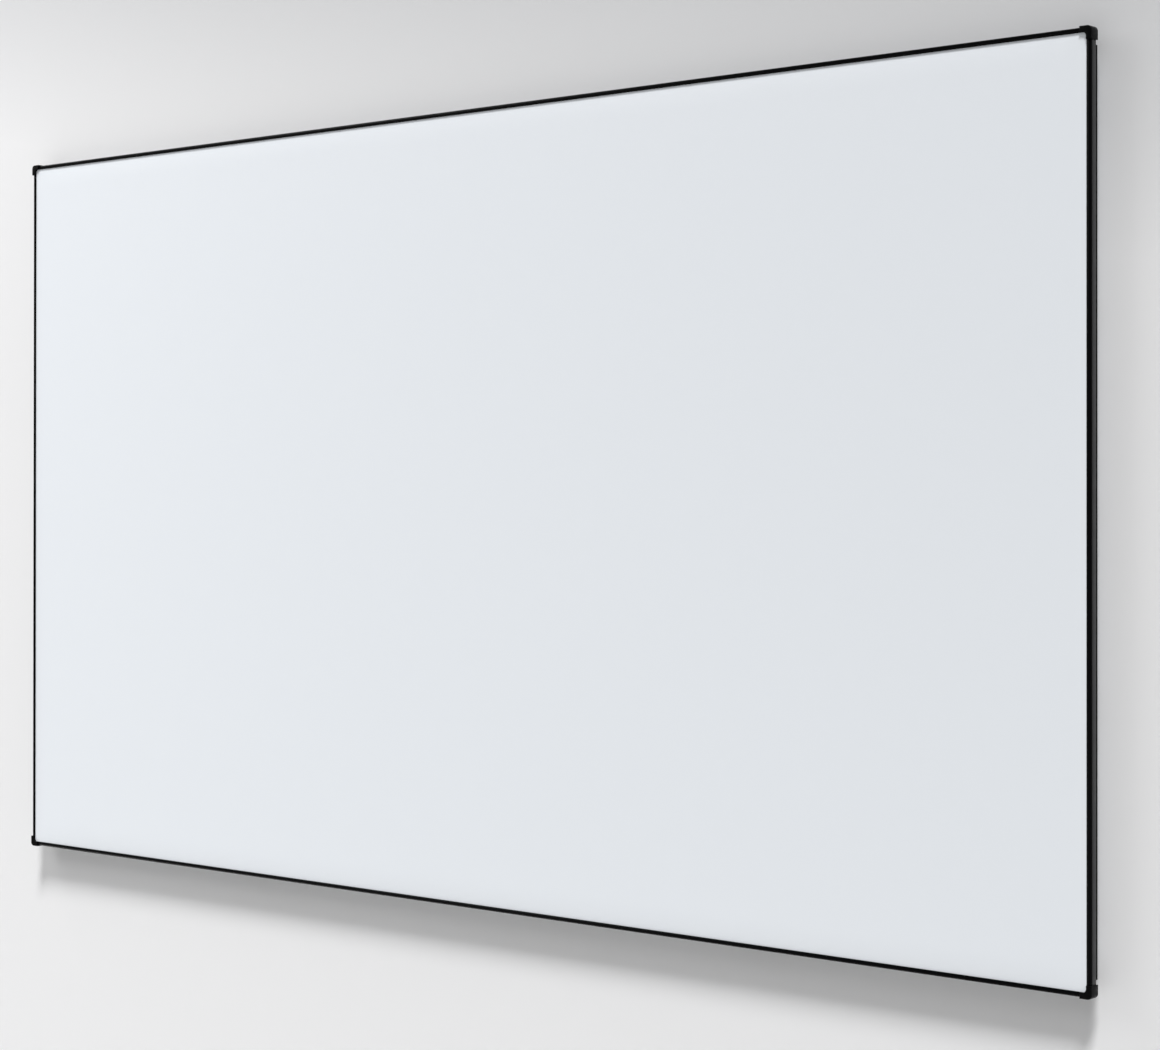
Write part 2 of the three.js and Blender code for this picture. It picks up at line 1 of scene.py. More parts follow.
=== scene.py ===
"""Fixed frame projector screen, 100 inch, 16:9: the finish of every piece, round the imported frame.

Metres. +X is to the right of someone who faces the picture, +Z is up, and the picture faces -Y.
Most pieces follow one side's section. It is drawn in millimetres as (out, back): out from the
picture's edge, and back behind the picture's front face.
"""

import math

import bpy
from mathutils import Matrix, Vector


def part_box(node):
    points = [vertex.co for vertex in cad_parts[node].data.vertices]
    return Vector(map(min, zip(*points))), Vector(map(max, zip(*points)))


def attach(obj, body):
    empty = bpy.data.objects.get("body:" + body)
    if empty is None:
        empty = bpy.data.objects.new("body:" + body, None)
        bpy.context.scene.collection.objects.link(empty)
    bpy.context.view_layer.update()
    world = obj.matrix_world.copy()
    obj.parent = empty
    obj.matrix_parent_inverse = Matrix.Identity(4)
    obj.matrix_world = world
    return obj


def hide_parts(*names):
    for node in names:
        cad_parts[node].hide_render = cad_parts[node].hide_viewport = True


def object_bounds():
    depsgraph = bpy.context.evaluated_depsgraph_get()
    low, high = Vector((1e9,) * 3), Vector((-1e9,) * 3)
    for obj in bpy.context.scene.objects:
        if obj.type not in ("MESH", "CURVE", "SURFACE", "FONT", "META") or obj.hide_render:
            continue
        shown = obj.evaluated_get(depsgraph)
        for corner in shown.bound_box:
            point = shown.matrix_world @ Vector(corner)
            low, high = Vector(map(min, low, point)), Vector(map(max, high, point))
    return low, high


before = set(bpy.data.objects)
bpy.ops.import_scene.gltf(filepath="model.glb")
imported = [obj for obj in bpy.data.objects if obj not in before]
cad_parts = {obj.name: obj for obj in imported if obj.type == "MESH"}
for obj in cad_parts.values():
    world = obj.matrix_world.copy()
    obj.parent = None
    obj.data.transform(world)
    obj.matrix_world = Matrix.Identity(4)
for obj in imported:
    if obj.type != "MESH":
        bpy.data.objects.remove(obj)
cad_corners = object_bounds()
bpy.ops.object.select_all(action="DESELECT")


# Camera. It stands to the right of the picture and level with its middle, and looks across it
# through a long lens, so that the right-hand side of the frame comes nearest.
CAMERA_PLACE = (2.8331, -2.9878, 0.0253)
CAMERA_TURN = (90.239, -0.04, 41.172)
CAMERA_LENS = 80.78
CAMERA_SENSOR = 36
CAMERA_RISE = -0.0377

bpy.ops.object.camera_add(location=CAMERA_PLACE, rotation=[math.radians(angle) for angle in CAMERA_TURN])
camera = bpy.context.object
camera.data.sensor_width = CAMERA_SENSOR
camera.data.lens = CAMERA_LENS
camera.data.shift_y = CAMERA_RISE
bpy.context.scene.camera = camera


# Rails. Extruded aluminium, a flat tube of two chambers with a leg and a T-flange behind. The
# extrusion is etched and dyed black in the anodising bath, which leaves a dull satin skin with
# faint lines along the run, where the die marked it.
MM = 0.001
RAIL_BLACK = "#1B1C1E"
RAIL_ROUGHNESS = 0.46
BLACK_SPECULAR = 0.3
DIE_LINE_SPACING = 0.5
DIE_LINE_LENGTH = 900
DYE_CLOUD = 110
DIE_LINE_DEPTH = 0.02
DIE_LINE_DULL = 0.06


def paint(code, share=1):
    """The linear colour of an sRGB hex value, or a darker share of it."""
    channels = [int(code[i : i + 2], 16) / 255 for i in (1, 3, 5)]
    linear = [c / 12.92 if c <= 0.04045 else ((c + 0.055) / 1.055) ** 2.4 for c in channels]
    return [share * c for c in linear] + [1]


def add_node(material, kind, inputs=None, **settings):
    """Adds a node to a material, with its settings, its sockets' values and its links."""
    node = material.node_tree.nodes.new(kind)
    for name, value in settings.items():
        setattr(node, name, value)
    for name, value in (inputs or {}).items():
        if isinstance(value, bpy.types.NodeSocket):
            material.node_tree.links.new(value, node.inputs[name])
        else:
            node.inputs[name].default_value = value
    return node


def new_material(name):
    """A material with an empty node tree."""
    material = bpy.data.materials.new(name)
    material.use_nodes = True
    material.node_tree.nodes.clear()
    return material


def shade_between(material, fac, dark, light, low=0.35, high=0.65):
    """Colours a pattern from a dark to a light shade."""
    ramp = add_node(material, "ShaderNodeValToRGB", {"Fac": fac})
    ramp.color_ramp.elements[0].position = low
    ramp.color_ramp.elements[0].color = dark
    ramp.color_ramp.elements[1].position = high
    ramp.color_ramp.elements[1].color = light
    return ramp.outputs["Color"]


def noise(material, place, size, detail):
    """A noise pattern with patches of about a size in millimetres."""
    inputs = {"Vector": place, "Scale": 1 / (MM * size), "Detail": detail}
    return add_node(material, "ShaderNodeTexNoise", inputs).outputs["Fac"]


def relief_from(material, pattern, strength, depth):
    """Bumps that follow a pattern, with a depth in millimetres."""
    inputs = {"Height": pattern, "Strength": strength, "Distance": MM * depth}
    return add_node(material, "ShaderNodeBump", inputs).outputs["Normal"]


def black_aluminium(name, run, colour, roughness, specular=BLACK_SPECULAR):
    """Dyed anodised aluminium, with die lines along its run."""
    material = new_material(name)
    place = add_node(material, "ShaderNodeTexCoord").outputs["Object"]
    across = [1 / (MM * (DIE_LINE_LENGTH if axis == run else DIE_LINE_SPACING)) for axis in "XYZ"]
    lines = add_node(material, "ShaderNodeMapping", {"Vector": place, "Scale": across})
    streak = noise(material, lines.outputs["Vector"], 1 / MM, 3)
    cloud = noise(material, place, DYE_CLOUD, 2)
    dulled = add_node(
        material,
        "ShaderNodeMapRange",
        {"Value": streak, "To Min": roughness - DIE_LINE_DULL, "To Max": roughness + DIE_LINE_DULL},
    )
    relief = relief_from(material, streak, 0.5, DIE_LINE_DEPTH)
    skin = add_node(
        material,
        "ShaderNodeBsdfPrincipled",
        {
            "Base Color": shade_between(material, cloud, paint(colour, 0.8), paint(colour)),
            "Roughness": dulled.outputs["Result"],
            "Specular IOR Level": specular,
            "Normal": relief,
        },
    )
    add_node(material, "ShaderNodeOutputMaterial", {"Surface": skin.outputs["BSDF"]})
    return material


rail_finish = {run: black_aluminium(f"anodised_rail_{run}", run, RAIL_BLACK, RAIL_ROUGHNESS) for run in "XZ"}
for name in ("rail_top_left", "rail_top_right", "rail_bottom_left", "rail_bottom_right"):
    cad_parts[name].material_slots[0].material = rail_finish["X"]
for name in ("rail_left", "rail_right"):
    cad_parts[name].material_slots[0].material = rail_finish["Z"]


# Corner keys and splice bars. Flat steel in the rails' inner chambers, cut to an L or a strip, with
# button head screws that come through the rails' backs. Steel and screws are plated with bright
# zinc, which has a cool tint and fine pickling grain.
SHEET_OUT = 4.8
RAIL_OUT = 4.0
TUBE_BACK = 8.8
CHAMBER_OUT = (-38.7, -12.05)
CHAMBER_BACK = (3.9, 7.5)
FIT = 0.3
KEY_LEG = 72
KEY_SCREWS = (20, 54)
SPLICE_LENGTH = 210
SPLICE_SCREWS = (28, 84)
SCREW_SHANK = 4
SCREW_HEAD = 8
SCREW_HEAD_HEIGHT = 2.2
SCREW_SOCKET = 2.5
SCREW_SOCKET_DEPTH = 1.3
ZINC = "#A9AEB2"
ZINC_ROUGHNESS = 0.34
PICKLE_GRAIN = 0.4
PICKLE_DEPTH = 0.02
ZINC_PATCH = 9
STEEL_EDGE = 0.3
MERGE_WITHIN = 0.01
MEND_WITHIN = 0.002

sheet_low, sheet_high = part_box("screen_sheet")
FRONT = sheet_low.y
HALF_WIDTH = sheet_high.x - MM * SHEET_OUT
HALF_HEIGHT = sheet_high.z - MM * SHEET_OUT
SIDES = {
    "top": (0, (0, HALF_HEIGHT), HALF_WIDTH),
    "right": (90, (HALF_WIDTH, 0), HALF_HEIGHT),
    "bottom": (180, (0, -HALF_HEIGHT), HALF_WIDTH),
    "left": (-90, (-HALF_WIDTH, 0), HALF_HEIGHT),
}
CORNERS = {
    "top_right": (0, (HALF_WIDTH, HALF_HEIGHT)),
    "bottom_right": (90, (HALF_WIDTH, -HALF_HEIGHT)),
    "bottom_left": (180, (-HALF_WIDTH, -HALF_HEIGHT)),
    "top_left": (-90, (-HALF_WIDTH, HALF_HEIGHT)),
}


def spot(along, out, back):
    """A place beside a side of the frame, from millimetres along it, outward and backward."""
    return Vector((along, back, out)) * MM


def edit():
    bpy.ops.object.mode_set(mode="EDIT")


def leave_edit():
    bpy.ops.object.mode_set(mode="OBJECT")


def select(piece, kind, test):
    """Selects the vertices, edges or faces of a piece whose middle passes a test, in edit mode."""
    bpy.ops.mesh.select_mode(type=kind)
    bpy.ops.mesh.select_all(action="DESELECT")
    leave_edit()
    mesh = piece.data
    if kind == "VERT":
        for vertex in mesh.vertices:
            vertex.select = test(vertex.co)
    elif kind == "EDGE":
        for edge in mesh.edges:
            edge.select = test([mesh.vertices[i].co for i in edge.vertices])
    else:
        for face in mesh.polygons:
            face.select = test(face)
    edit()


def start_line(at):
    """Starts a drawn line at one vertex, and leaves it selected in edit mode."""
    bpy.ops.mesh.primitive_plane_add(size=MM)
    piece = bpy.context.object
    edit()
    bpy.ops.mesh.select_mode(type="VERT")
    bpy.ops.mesh.merge(type="CENTER")
    bpy.ops.transform.translate(value=at)
    return piece


def draw_to(start, *places):
    """Draws straight lines through places from the line's last vertex, which lies at start."""
    for place in places:
        bpy.ops.mesh.extrude_vertices_move(TRANSFORM_OT_translate={"value": place - start})
        start = place
    return start


def draw_round(centre, degrees, steps, axis=(1, 0, 0)):
    """Draws an arc about a centre from the line's last vertex."""
    bpy.ops.mesh.spin(steps=steps, angle=math.radians(degrees), center=centre, axis=axis)


def close_line(step):
    """Closes a drawn line to a face and pulls it to a solid."""
    bpy.ops.mesh.select_all(action="SELECT")
    bpy.ops.mesh.remove_doubles(threshold=MM * MERGE_WITHIN)
    bpy.ops.mesh.edge_face_add()
    bpy.ops.mesh.extrude_region_move(TRANSFORM_OT_translate={"value": step})
    bpy.ops.mesh.select_all(action="SELECT")
    bpy.ops.mesh.normals_make_consistent(inside=False)


def use_modifier(piece, kind, **settings):
    """Adds a modifier and applies it."""
    bpy.context.view_layer.objects.active = piece
    modifier = piece.modifiers.new(kind.lower(), kind)
    for name, value in settings.items():
        setattr(modifier, name, value)
    bpy.ops.object.modifier_apply(modifier=modifier.name)


def soften(piece, width, segments=2, angle=30):
    """Breaks a piece's sharp edges and shades the rounds smooth."""
    limit = math.radians(angle)
    use_modifier(piece, "BEVEL", width=MM * width, segments=segments, limit_method="ANGLE", angle_limit=limit)
    shade(piece)


def shade(piece, angle=35):
    pick(piece)
    bpy.ops.object.shade_smooth_by_angle(angle=math.radians(angle))


def pick(*chosen):
    """Makes these the only selected objects, the first one active."""
    bpy.ops.object.select_all(action="DESELECT")
    for piece in chosen:
        piece.select_set(True)
    bpy.context.view_layer.objects.active = chosen[0]


def cut(piece, *cutters):
    """Cuts other solids out of a piece and deletes them."""
    for cutter in cutters:
        use_modifier(piece, "BOOLEAN", operation="DIFFERENCE", object=cutter, solver="EXACT")
        bpy.data.objects.remove(cutter)


def mend(piece):
    """Joins corners that a cut or a mirror left side by side, and fills the pinholes."""
    pick(piece)
    edit()
    bpy.ops.mesh.select_all(action="SELECT")
    bpy.ops.mesh.remove_doubles(threshold=MM * MEND_WITHIN)
    bpy.ops.mesh.fill_holes(sides=6)
    leave_edit()


def copy_of(piece, matrix=None):
    """A copy with its own mesh, moved by a matrix if one is given."""
    other = piece.copy()
    other.data = piece.data.copy()
    bpy.context.scene.collection.objects.link(other)
    if matrix is not None:
        other.data.transform(matrix)
    return other


def place_at(turn, at):
    """The matrix that moves a piece from beside the top side or the top right corner to its own place."""
    return Matrix.Translation((at[0], FRONT, at[1])) @ Matrix.Rotation(math.radians(turn), 4, "Y")


def keep(piece, name, slot, *materials):
    """Names a finished piece, gives it its materials, and stands it in for its node."""
    piece.name = f"{name}_finished"
    piece.data.name = piece.name
    for i, material in enumerate(materials):
        if i < len(piece.data.materials):
            piece.data.materials[i] = material
        else:
            piece.data.materials.append(material)
    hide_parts(name)
    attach(piece, "root")


zinc = new_material("bright_zinc_plate")
place = add_node(zinc, "ShaderNodeTexCoord").outputs["Object"]
grain = noise(zinc, place, PICKLE_GRAIN, 4)
patch = noise(zinc, place, ZINC_PATCH, 2)
dull = add_node(
    zinc,
    "ShaderNodeMapRange",
    {"Value": patch, "To Min": ZINC_ROUGHNESS - 0.08, "To Max": ZINC_ROUGHNESS + 0.1},
)
pits = relief_from(zinc, grain, 0.2, PICKLE_DEPTH)
plate = add_node(
    zinc,
    "ShaderNodeBsdfPrincipled",
    {
        "Base Color": shade_between(zinc, patch, paint(ZINC, 0.8), paint(ZINC)),
        "Metallic": 1,
        "Roughness": dull.outputs["Result"],
        "Normal": pits,
    },
)
add_node(zinc, "ShaderNodeOutputMaterial", {"Surface": plate.outputs["BSDF"]})


def button_screw():
    """A button head screw with a hex socket. It points to the front, and its seat is at the origin."""
    screw = start_line(spot(0, 0, SCREW_HEAD_HEIGHT))
    rim = spot(0, SCREW_HEAD / 2, 0)
    shoulder = spot(0, SCREW_SHANK / 2, 0)
    dome_radius = (SCREW_HEAD**2 / 4 + SCREW_HEAD_HEIGHT**2) / (2 * SCREW_HEAD_HEIGHT)
    dome_turn = math.degrees(math.asin(SCREW_HEAD / 2 / dome_radius))
    draw_round(spot(0, 0, SCREW_HEAD_HEIGHT - dome_radius), -dome_turn, 6)
    shank_end = CHAMBER_BACK[1] - TUBE_BACK - 2 * FIT
    draw_to(rim, shoulder, spot(0, SCREW_SHANK / 2, shank_end), spot(0, 0, shank_end))
    bpy.ops.mesh.select_all(action="SELECT")
    bpy.ops.mesh.spin(steps=28, angle=2 * math.pi, center=(0, 0, 0), axis=(0, 1, 0))
    bpy.ops.mesh.select_all(action="SELECT")
    bpy.ops.mesh.remove_doubles(threshold=MM * MERGE_WITHIN)
    bpy.ops.mesh.normals_make_consistent(inside=False)
    leave_edit()
    bpy.ops.mesh.primitive_cylinder_add(
        vertices=6,
        radius=MM * SCREW_SOCKET / math.sqrt(3),
        depth=2 * MM * SCREW_SOCKET_DEPTH,
        location=(0, MM * SCREW_HEAD_HEIGHT, 0),
        rotation=(math.radians(90), 0, 0),
    )
    cut(screw, bpy.context.object)
    return screw


def screwed(bar, screw, places):
    """Puts a screw's copies on a bar and joins them to it."""
    soften(bar, STEEL_EDGE)
    shade(screw)
    copies = [copy_of(screw, Matrix.Translation(spot(x, z, TUBE_BACK + FIT))) for x, z in places]
    pick(bar, *copies)
    bpy.ops.object.join()
    return bar


KEY_MIDDLE = sum(CHAMBER_OUT) / 2
inner, outer = CHAMBER_OUT[0] + FIT, CHAMBER_OUT[1] - FIT
plate_front, plate_back = CHAMBER_BACK[0] + FIT, CHAMBER_BACK[1] - FIT
end = CHAMBER_OUT[0] - KEY_LEG
screw = button_screw()
corner_key = start_line(spot(end, inner, plate_front))
elbow = ((inner, inner), (inner, end), (outer, end), (outer, outer), (end, outer), (end, inner))
draw_to(spot(end, inner, plate_front), *[spot(x, z, plate_front) for x, z in elbow])
close_line(spot(0, 0, plate_back - plate_front))
leave_edit()
screws_at = [CHAMBER_OUT[0] - at for at in KEY_SCREWS]
screwed(corner_key, screw, [(at, KEY_MIDDLE) for at in screws_at] + [(KEY_MIDDLE, at) for at in screws_at])
for corner, (turn, at) in CORNERS.items():
    keep(copy_of(corner_key, place_at(turn, at)), f"corner_key_{corner}", "zinc_plated_steel", zinc)
bpy.data.objects.remove(corner_key)

splice = start_line(spot(-SPLICE_LENGTH / 2, inner, plate_front))
draw_to(
    spot(-SPLICE_LENGTH / 2, inner, plate_front),
    spot(SPLICE_LENGTH / 2, inner, plate_front),
    spot(SPLICE_LENGTH / 2, outer, plate_front),
    spot(-SPLICE_LENGTH / 2, outer, plate_front),
    spot(-SPLICE_LENGTH / 2, inner, plate_front),
)
close_line(spot(0, 0, plate_back - plate_front))
leave_edit()
screwed(splice, screw, [(hand * at, KEY_MIDDLE) for at in SPLICE_SCREWS for hand in (-1, 1)])
for side in ("top", "bottom"):
    turn, at, half = SIDES[side]
    keep(copy_of(splice, place_at(turn, at)), f"splice_bar_{side}", "zinc_plated_steel", zinc)
bpy.data.objects.remove(splice)
bpy.data.objects.remove(screw)


# Screen sheet. Matt white PVC film on a black backing, calendered with a fine even grain. Each edge
# turns round the rail's ridge, runs down its outer face and turns round its leg, and its hem is
# welded round a rod. The hem is notched at each spring.
FILM = 0.5
RIDGE_RADIUS = 1.2
RIDGE_BACK = 0.8
LEG_RADIUS = 1
LEG_BACK = 13.6
ROD_OUT = -5.5
ROD_BACK = 12.6
ROD_RADIUS = 2
SHEET_NOTCH = 34
HEM_TURN = 240
WELD = (-1.7, 0.9)
WELD_APART = 0.55
HEM_WINDOW = 14
HEM_WINDOW_FROM = -1.4
SPRING_COUNT = {"top": 8, "right": 5, "bottom": 8, "left": 5}
SPRING_MARGIN = 100
FILM_WHITE = "#EDF1F6"
FILM_BACKING = "#333335"
FILM_ROUGHNESS = 0.88
FILM_SPECULAR = 0.3
FILM_GRAIN = 0.35
FILM_GRAIN_DEPTH = 0.02
BACKING_ROUGHNESS = 0.72
BACKING_SPECULAR = 0.4
BACKING_GRAIN = 0.8
BACKING_GRAIN_DEPTH = 0.05


def springs_along(side):
    """The places of a side's springs, in millimetres from its middle."""
    first = SPRING_MARGIN - SIDES[side][2] / MM
    step = -2 * first / (SPRING_COUNT[side] - 1)
    return [first + i * step for i in range(SPRING_COUNT[side])]


def profile_length(piece):
    """The length of a drawn line."""
    leave_edit()
    places = [vertex.co for vertex in piece.data.vertices]
    return sum((places[a] - places[b]).length for a, b in (edge.vertices for edge in piece.data.edges))


middle = FILM / 2
ridge_turn = RIDGE_RADIUS + FIT + middle
leg_turn = LEG_RADIUS + FIT + middle
hem_turn = ROD_RADIUS + FIT + middle
flat_out = RAIL_OUT - RIDGE_RADIUS
leg_out = RAIL_OUT - LEG_RADIUS
leg_centre_back = LEG_BACK - LEG_RADIUS
wrap_slope = (leg_centre_back + leg_turn - ROD_BACK - hem_turn) / (leg_out - ROD_OUT)


def weld_back(out):
    """How far back the hem's tab lies where it is welded to the wrap."""
    return ROD_BACK + hem_turn + wrap_slope * (out - ROD_OUT) - WELD_APART


def stations(side):
    """Where a side's flap starts and ends and where its hem is notched, along the side."""
    half = SIDES[side][2] / MM - SHEET_NOTCH
    notches = [at + hand * HEM_WINDOW / 2 for at in springs_along(side) for hand in (-1, 1)]
    return [-half, *notches, half]


def sheet_flap(side):
    """One side's wrap and hem, drawn as a strip in the middle of the film, and the strip's width."""
    first = stations(side)[0]
    flap = start_line(spot(first, flat_out, middle))
    draw_round(spot(first, flat_out, RIDGE_BACK + RIDGE_RADIUS), 90, 6)
    draw_to(
        spot(first, flat_out + ridge_turn, RIDGE_BACK + RIDGE_RADIUS),
        spot(first, leg_out + leg_turn, leg_centre_back),
    )
    draw_round(spot(first, leg_out, leg_centre_back), 90, 6)
    draw_to(
        spot(first, leg_out, leg_centre_back + leg_turn),
        spot(first, HEM_WINDOW_FROM, weld_back(HEM_WINDOW_FROM) + WELD_APART),
        spot(first, ROD_OUT, ROD_BACK + hem_turn),
    )
    draw_round(spot(first, ROD_OUT, ROD_BACK), HEM_TURN, 16)
    turned = math.radians(90 + HEM_TURN)
    last = spot(first, ROD_OUT + hem_turn * math.cos(turned), ROD_BACK + hem_turn * math.sin(turned))
    draw_to(last, *[spot(first, out, weld_back(out)) for out in WELD])
    width = profile_length(flap)
    edit()
    bpy.ops.mesh.select_all(action="SELECT")
    for here, there in zip(stations(side), stations(side)[1:]):
        bpy.ops.mesh.extrude_region_move(TRANSFORM_OT_translate={"value": spot(there - here, 0, 0)})
    notched = springs_along(side)
    select(
        flap,
        "FACE",
        lambda face: face.center.z < MM * HEM_WINDOW_FROM
        and any(abs(face.center.x - MM * at) < MM for at in notched),
    )
    bpy.ops.mesh.delete(type="FACE")
    leave_edit()
    turn, at, _ = SIDES[side]
    flap.data.transform(place_at(turn, at))
    return flap, width


bpy.ops.mesh.primitive_plane_add(
    size=2,
    location=(0, FRONT + MM * middle, 0),
    rotation=(math.radians(90), 0, 0),
)
sheet = bpy.context.object
sheet.scale = (HALF_WIDTH + MM * flat_out, HALF_HEIGHT + MM * flat_out, 1)
bpy.ops.object.transform_apply(location=True, rotation=True, scale=True)
edit()
for side, normal in (("top", (1, 0, 0)), ("right", (0, 0, 1))):
    for at in stations(side):
        bpy.ops.mesh.select_all(action="SELECT")
        bpy.ops.mesh.bisect(plane_co=[MM * at * way for way in normal], plane_no=normal)
leave_edit()
flaps, widths = zip(*[sheet_flap(side) for side in SIDES])
pick(sheet, *flaps)
bpy.ops.object.join()
edit()
bpy.ops.mesh.select_all(action="SELECT")
bpy.ops.mesh.remove_doubles(threshold=MM * MERGE_WITHIN)
bpy.ops.mesh.normals_make_consistent(inside=False)
leave_edit()
if min(sheet.data.polygons, key=lambda face: face.center.length).normal.y > 0:
    sheet.data.flip_normals()

film = new_material("matt_white_film")
place = add_node(film, "ShaderNodeTexCoord").outputs["Object"]
grain = noise(film, place, FILM_GRAIN, 2)
relief = relief_from(film, grain, 0.25, FILM_GRAIN_DEPTH)
coat = add_node(
    film,
    "ShaderNodeBsdfPrincipled",
    {
        "Base Color": shade_between(film, grain, paint(FILM_WHITE, 0.985), paint(FILM_WHITE)),
        "Roughness": FILM_ROUGHNESS,
        "Specular IOR Level": FILM_SPECULAR,
        "Normal": relief,
    },
)
add_node(film, "ShaderNodeOutputMaterial", {"Surface": coat.outputs["BSDF"]})

backing = new_material("black_film_backing")
place = add_node(backing, "ShaderNodeTexCoord").outputs["Object"]
grain = noise(backing, place, BACKING_GRAIN, 3)
relief = relief_from(backing, grain, 0.4, BACKING_GRAIN_DEPTH)
coat = add_node(
    backing,
    "ShaderNodeBsdfPrincipled",
    {
        "Base Color": shade_between(backing, grain, paint(FILM_BACKING, 0.8), paint(FILM_BACKING)),
        "Roughness": BACKING_ROUGHNESS,
        "Specular IOR Level": BACKING_SPECULAR,
        "Normal": relief,
    },
)
add_node(backing, "ShaderNodeOutputMaterial", {"Surface": coat.outputs["BSDF"]})

sheet.data.materials.append(film)
sheet.data.materials.append(backing)
use_modifier(sheet, "SOLIDIFY", thickness=MM * FILM, offset=0, use_even_offset=True, material_offset=1)
keep(sheet, "screen_sheet", "white_screen_film", film, backing)
shade(sheet)


# Tension rods. Pultruded glass fibre, 4 mm, slid into the hems. The ends are chamfered, and the
# fibres show as fine pale streaks in a slightly yellow resin.
ROD_PAST_HEM = 8
ROD_CHAMFER = 0.5
STRAND_LENGTH = 60
STRAND_WIDTH = 0.3
STRAND_DEPTH = 0.03
RESIN = "#D8D3C2"
RESIN_ROUGHNESS = 0.42
FIBRE = "#F0EDE2"

fibre = new_material("pultruded_glass_fibre")
place = add_node(fibre, "ShaderNodeTexCoord").outputs["Object"]
along, across = 1 / (MM * STRAND_LENGTH), 1 / (MM * STRAND_WIDTH)
strands = add_node(fibre, "ShaderNodeMapping", {"Vector": place, "Scale": (along, across, along)})
streak = noise(fibre, strands.outputs["Vector"], 1 / MM, 4)
relief = relief_from(fibre, streak, 0.3, STRAND_DEPTH)
resin = add_node(
    fibre,
    "ShaderNodeBsdfPrincipled",
    {
        "Base Color": shade_between(fibre, streak, paint(RESIN), paint(FIBRE)),
        "Roughness": RESIN_ROUGHNESS,
        "Normal": relief,
    },
)
add_node(fibre, "ShaderNodeOutputMaterial", {"Surface": resin.outputs["BSDF"]})

for side, (turn, at, half) in SIDES.items():
    bpy.ops.mesh.primitive_cylinder_add(
        vertices=24,
        radius=MM * ROD_RADIUS,
        depth=2 * (half + MM * (ROD_PAST_HEM - SHEET_NOTCH)),
        location=spot(0, ROD_OUT, ROD_BACK),
        rotation=(0, math.radians(90), 0),
    )
    rod = bpy.context.object
    bpy.ops.object.transform_apply(location=True, rotation=True, scale=True)
    soften(rod, ROD_CHAMFER, segments=1, angle=60)
    rod.data.transform(place_at(turn, at))
    keep(rod, f"tension_rod_{side}", "glass_fibre", fibre)


# Springs. Close-coiled spring wire, zinc plated. The wire leaves the coils as a side loop that goes
# round the rod, and at the other end it dips under the rail's bead and turns up behind it.
WIRE = 1.2
WIRE_MERGE_WITHIN = 0.001
COIL = 6
COIL_PITCH = 1.23
COIL_TURNS = 11.5
COIL_STEPS = 16
COIL_START = -11
LOOP_FROM, LOOP_TO = 144, -126
LOOP_STEPS = 14
BEAD_DIP = 11.3
HOOK_TURN_OUT = -36.7
HOOK_BEND = 1.2
HOOK_END = 12.8

spring_wire = zinc.copy()
spring_wire.name = "zinc_plated_spring_wire"

loop_radius = ROD_RADIUS + FIT + WIRE / 2
coil_radius = (COIL - WIRE) / 2
route = []
for i in range(LOOP_STEPS + 1):
    angle = math.radians(LOOP_TO + (LOOP_FROM - LOOP_TO) * i / LOOP_STEPS)
    route.append(spot(0, ROD_OUT + loop_radius * math.cos(angle), ROD_BACK + loop_radius * math.sin(angle)))
for i in range(int(COIL_TURNS * COIL_STEPS) + 1):
    angle = 2 * math.pi * i / COIL_STEPS
    reach = COIL_START - COIL_PITCH * i / COIL_STEPS
    route.append(spot(coil_radius * math.sin(angle), reach, ROD_BACK + coil_radius * math.cos(angle)))
coil_end = COIL_START - COIL_PITCH * COIL_TURNS
route.append(spot(0, coil_end - 2 * WIRE, BEAD_DIP))
for i in range(5):
    angle = math.radians(90 * i / 4)
    bend_out = HOOK_TURN_OUT + HOOK_BEND * (1 - math.sin(angle))
    route.append(spot(0, bend_out, BEAD_DIP + HOOK_BEND * (1 - math.cos(angle))))
route.append(spot(0, HOOK_TURN_OUT, HOOK_END))

path = bpy.data.curves.new("spring_wire", "CURVE")
path.dimensions = "3D"
path.bevel_depth = MM * WIRE / 2
path.bevel_resolution = 2
path.use_fill_caps = True
line = path.splines.new("POLY")
line.points.add(len(route) - 1)
for point, at in zip(line.points, route):
    point.co = (*at, 1)
spring = bpy.data.objects.new("spring", path)
bpy.context.scene.collection.objects.link(spring)
pick(spring)
bpy.ops.object.convert(target="MESH")
spring = bpy.context.object
edit()
bpy.ops.mesh.select_all(action="SELECT")
bpy.ops.mesh.remove_doubles(threshold=MM * WIRE_MERGE_WITHIN)
leave_edit()
shade(spring, 60)
for side, (turn, at, _) in SIDES.items():
    for i, along in enumerate(springs_along(side)):
        matrix = place_at(turn, at) @ Matrix.Translation(spot(along, 0, 0))
        keep(copy_of(spring, matrix), f"spring_{side}_{i + 1}", "spring_steel", spring_wire)
bpy.data.objects.remove(spring)


# Trim strips. Thin extruded aluminium, with a deep black face that takes up stray light beside the
# picture. The lip rolls over a rounded nose to a flat satin band, which mirrors the wall, and the
# skirt behind the band is set in and matt. The mitred tips are clipped and lie under the caps.
TRIM_FACE = 7
LIP_EDGE = 1.2
NOSE_RADIUS = 4
NOSE_OUT = 3
NOSE_BACK = 1.4
BAND_BACK = 10.8
SKIRT_OUT = 6.3
TRIM_INNER = 5.1
SNAP_OUT = 2.9
SNAP_BACK = (14.7, 15.7)
MITRE_GAP = FIT / math.sqrt(2)
RELIEF_FROM_CORNER = 15.5
TRIM_BLACK = "#050506"
FACE_ROUGHNESS = 0.26
FACE_SPECULAR = 0.06
BAND_ROUGHNESS = 0.3
BAND_SPECULAR = 0.34
SKIRT_ROUGHNESS = 0.7
SKIRT_SPECULAR = 0.03
TRIM_EDGE = 0.18
SKIRT_FROM = BAND_BACK + 0.2
BAND_FROM = TRIM_FACE - 0.001
CAP_OUT = 8.5
CAP_OUTER_RADIUS = 6.5
ROUND_CENTRE = CAP_OUT - CAP_OUTER_RADIUS
